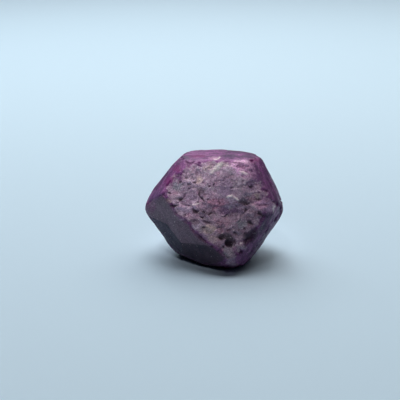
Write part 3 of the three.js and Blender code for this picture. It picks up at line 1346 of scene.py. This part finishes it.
    def roughness(self) -> Value:
        """Waxy stone, a dry skin and a few glints.

        Returns:
            The roughness.
        """
        patchy = self.noise(self.own, 1.3, detail=4.0, roughness=0.65)
        rough = self.mixed(self.skin, self.ramp(patchy, 0.3, 0.7, 0.34, 0.55),
                           self.ramp(patchy, 0.3, 0.7, 0.55, 0.85))
        return self.mixed(self.capped(self.glossy), rough, 0.18)

    def bumps(self) -> Value:
        """Grain on the skin, and fine growth lines and frosting on the stone.

        Returns:
            The normal.
        """
        lines = self.noise(self.squeezed(0.25, 5.0), 1.0, detail=4.0, roughness=0.6)
        frost = self.noise(self.own, 6.0, detail=3.0, roughness=0.6)
        coarse = self.grain * (1.0 - self.plateau * 0.5)
        height = self.mixed(self.skin, lines * 0.30 + frost * 0.12, coarse)
        sockets = {"Height": height, "Distance": 0.2 * MM, "Strength": 0.8}
        return self.out("ShaderNodeBump", sockets)


# ---- The crystal --------------------------------------------------------------------------


@dataclass
class RubyCrystal:
    """The whole crystal.

    Attributes:
        cells: squares along each edge of the six patches of its surface.
        gather: how far they are gathered towards the front face.
        sharpness: how crisp its edges are.
        swell: how far it is swollen, to make up for what its edges lose.
        facet_lean: the least and most degrees that a random facet leans away from its face.
        facet_share: the least and most that it takes of its face.
        facet_spread: the least and most radians between the two headings of a pair.
        facet_tone: the least and most that it is paler than its face.
        sway: how far a face bows in or out.
        skin_sway: how far a face with skin does.
        sway_scale: how many times it bows.
        seed: for what is strewn at random.
        wear: how weathered it is.
        finish: its colours.
    """

    cells: int = 128
    gather: float = 0.18
    sharpness: float = 60.0
    swell: float = 1.012
    facet_lean: tuple[float, float] = (4.0, 9.0)
    facet_share: tuple[float, float] = (0.2, 0.5)
    facet_spread: tuple[float, float] = (1.8, 3.4)
    facet_tone: tuple[float, float] = (-0.8, 0.8)
    sway: float = 0.7
    skin_sway: float = 1.6
    sway_scale: float = 2.6
    seed: int = 7
    wear: Wear = Wear()
    finish: RubyFinish = RubyFinish()

    def build(self, node: bpy.types.Object) -> bpy.types.Object:
        """Grows, weathers and dresses the crystal.

        Args:
            node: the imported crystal, which gives the distance of every face.

        Returns:
            The piece.
        """
        low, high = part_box(NODE)
        axes = Axes(middle=(low + high) / 2)
        piece = bpy.data.objects.new("raw_ruby", direction_grid(self.cells, self.gather, axes.turn))
        bpy.context.scene.collection.objects.link(piece)
        material = self.finish.build(axes)
        self.grow(piece, node, axes, material)
        self.weather(piece, axes, material)
        return piece

    def planes(self, node: bpy.types.Object, axes: Axes) -> list[dict]:
        """The planes that bound the crystal: each face, broken into facets if it has no skin.

        Args:
            node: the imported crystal.
            axes: the crystal's directions.

        Returns:
            For each plane, face by face, its direction, its distance in metres, how it looks,
            its face's number and whether it is that face's last.
        """
        corners = np.array([v.co for v in node.data.vertices]) - np.array(axes.middle)
        random = np.random.default_rng(self.seed)
        slack = 0.01 * MM
        planes = []
        for number, face in enumerate(FACES):
            normal = axes.normal(face.form.value, face.azimuth, face.front)
            heights = corners @ normal
            middle = corners[heights > heights.max() - slack].mean(axis=0)
            group = [(normal, heights.max(), 0.0)]
            for facet in face.facets or self.random_facets(face, random):
                normal = axes.normal(face.form.value + facet.polar, face.azimuth + facet.azimuth,
                                     face.front)
                outside = (corners @ normal).max()
                distance = outside - facet.share * (outside - middle @ normal)
                group.append((normal, distance, facet.tone))
            planes += [{"outward": normal, "distance": distance, "tone": tone,
                        "dress": face.dress.value, "face": number, "last": k == len(group) - 1}
                       for k, (normal, distance, tone) in enumerate(group)]
        return planes

    def random_facets(self, face: Face, random: np.random.Generator) -> list[Facet]:
        """Two facets for a face that has none of its own, and none for skin.

        Args:
            face: the face.
            random: where the numbers come from.

        Returns:
            The facets.
        """
        if face.dress is Dress.SKIN:
            return []
        first = random.uniform(0, 2 * math.pi)
        facets = []
        for heading in (first, first + random.uniform(*self.facet_spread)):
            lean = random.uniform(*self.facet_lean)
            facets.append(Facet(lean * math.cos(heading), lean * math.sin(heading),
                                random.uniform(*self.facet_share),
                                random.uniform(*self.facet_tone)))
        return facets

    def grow(self, piece: bpy.types.Object, node: bpy.types.Object, axes: Axes,
             material: bpy.types.Material) -> None:
        """Moves the ball's points out to the crystal's faces.

        Args:
            piece: the ball.
            node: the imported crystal.
            axes: the crystal's directions.
            material: what it wears.
        """
        planes = self.planes(node, axes)
        size = float(np.mean([plane["distance"] for plane in planes]))
        cloud = point_cloud("planes", [p | {"distance": p["distance"] / size} for p in planes])
        HabitTree().grow(
            piece, planes=cloud, plane_count=len(planes), middle=axes.middle,
            size=size * self.swell, sharpness=self.sharpness, sway=self.sway * MM / size,
            skin_sway=self.skin_sway * MM / size, sway_scale=self.sway_scale, material=material)
        bpy.data.objects.remove(cloud)
        LOG.info("grew %s on %d faces of %d planes", piece.name, len(FACES), len(planes))

    def weather(self, piece: bpy.types.Object, axes: Axes, material: bpy.types.Material) -> None:
        """Weathers the surface.

        Args:
            piece: the grown crystal.
            axes: the crystal's directions.
            material: what it wears.
        """
        right, up, along = (Vector(row) for row in axes.turn)
        front = max((v.co - axes.middle).dot(along) for v in piece.data.vertices) / MM
        marks = point_cloud("marks", [mark.row(front) for mark in MARKS])
        patches = point_cloud("patches", [patch.row(front) for patch in PATCHES])
        WeatherTree().grow(
            piece, middle=axes.middle, right=right, up=up, along=along, marks=marks,
            mark_count=len(MARKS), patches=patches, patch_count=len(PATCHES), seed=self.seed,
            material=material, **asdict(self.wear))
        for cloud in (marks, patches):
            bpy.data.objects.remove(cloud)
        LOG.info("weathered %s with %d marks and %d patches", piece.name, len(MARKS), len(PATCHES))


# ---- The studio ---------------------------------------------------------------------------


@dataclass(frozen=True)
class Lamp:
    """A soft light: a square one, or a spot if it has a cone.

    Attributes:
        name: what it is called.
        place: where it hangs, in metres.
        size: its side, or the spot's radius, in metres.
        power: in watts.
        colour: its tint.
        cone: degrees across a spot's beam.
    """

    name: str
    place: Triple
    size: float
    power: float
    colour: Colour = (1.0, 1.0, 1.0)
    cone: float = 0.0

    def build(self, target: Vector) -> None:
        """Hangs the light.

        Args:
            target: what it faces, in metres.
        """
        data = bpy.data.lights.new(self.name, "SPOT" if self.cone else "AREA")
        if self.cone:
            data.shadow_soft_size = self.size
            data.spot_size = math.radians(self.cone)
            data.spot_blend = 1.0
        else:
            data.size = self.size
        data.energy = self.power
        data.color = self.colour
        lamp = bpy.data.objects.new(self.name, data)
        lamp.location = self.place
        lamp.rotation_euler = (target - Vector(self.place)).to_track_quat("-Z", "Y").to_euler()
        bpy.context.scene.collection.objects.link(lamp)


@dataclass
class Studio:
    """A pale blue floor, soft light from above and the camera.

    Attributes:
        elevation: degrees that the camera looks down.
        distance: from the camera to the crystal, in metres.
        lens: focal length for a sensor of 36 mm.
        aim: what the camera looks at, in metres.
        middle: what the lights face, in metres.
        floor_reach: half the floor's side, in metres.
        floor_colour: the floor's paint.
        sky: the colour of the light from all round.
        sky_strength: how strong it is.
        lamps: the lights.
    """

    elevation: float = 18.0
    distance: float = 0.24
    lens: float = 98.9
    aim: Triple = (-0.0030, -0.0005, 0.0129)
    middle: Triple = (-0.0015, 0.0, 0.0142)
    floor_reach: float = 3.0
    floor_colour: Colour = (0.60, 0.765, 0.90)
    sky: Colour = (0.80, 0.90, 1.0)
    sky_strength: float = 0.006
    lamps: tuple[Lamp, ...] = (
        Lamp("top_light", (-0.01, 0.13, 0.80), 0.44, 2.7, (1.0, 0.99, 1.0)),
        Lamp("left_light", (-0.16, 0.25, 0.35), 0.30, 0.70, (0.94, 1.0, 1.0)),
        Lamp("right_light", (0.20, 0.25, 0.35), 0.30, 0.46, (1.0, 1.0, 0.90)),
        Lamp("rear_light", (0.0, 0.45, 0.40), 0.40, 0.68),
        Lamp("front_spot", (-0.10, -0.25, 0.45), 0.006, 3.1, (1.0, 0.97, 1.0), 4.1),
    )

    def build(self) -> None:
        """Sets up the floor, the lights and the camera."""
        self.floor()
        self.surroundings()
        for lamp in self.lamps:
            lamp.build(Vector(self.middle))
        self.camera()
        bpy.context.scene.view_settings.view_transform = "Standard"

    def floor(self) -> None:
        """Lays the floor."""
        mesh = bpy.data.meshes.new("floor")
        r = self.floor_reach
        mesh.from_pydata([(-r, -r, 0), (r, -r, 0), (r, r, 0), (-r, r, 0)], [], [(0, 1, 2, 3)])
        floor = bpy.data.objects.new("floor", mesh)
        bpy.context.scene.collection.objects.link(floor)
        material = bpy.data.materials.new("pale_board")
        material.use_nodes = True
        graph = Graph(material.node_tree)
        shader = material.node_tree.nodes["Principled BSDF"]
        graph.feed(shader, "Base Color", opaque(self.floor_colour))
        graph.feed(shader, "Roughness", 0.8)
        mesh.materials.append(material)

    def surroundings(self) -> None:
        """Fills the room with soft pale light."""
        world = bpy.data.worlds.new("room")
        world.use_nodes = True
        background = world.node_tree.nodes["Background"]
        background.inputs["Color"].default_value = opaque(self.sky)
        background.inputs["Strength"].default_value = self.sky_strength
        bpy.context.scene.world = world

    def camera(self) -> None:
        """Points the camera at the crystal."""
        data = bpy.data.cameras.new("camera")
        data.lens = self.lens
        data.sensor_width = 36.0
        camera = bpy.data.objects.new("camera", data)
        down = math.radians(self.elevation)
        back = Vector((0.0, -math.cos(down), math.sin(down)))
        camera.location = Vector(self.aim) + back * self.distance
        camera.rotation_euler = (-back).to_track_quat("-Z", "Y").to_euler()
        bpy.context.scene.collection.objects.link(camera)
        bpy.context.scene.camera = camera


def main() -> None:
    """Loads the frame, builds the crystal round it and sets up the studio."""
    logging.basicConfig(level=logging.INFO, format="%(name)s: %(message)s")
    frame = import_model()
    crystal = RubyCrystal().build(frame["nodes"][NODE])
    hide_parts(NODE)
    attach(crystal, "root")
    LOG.info("%s has %d faces", crystal.name, len(crystal.data.polygons))
    Studio().build()


if __name__ == "__main__":
    main()
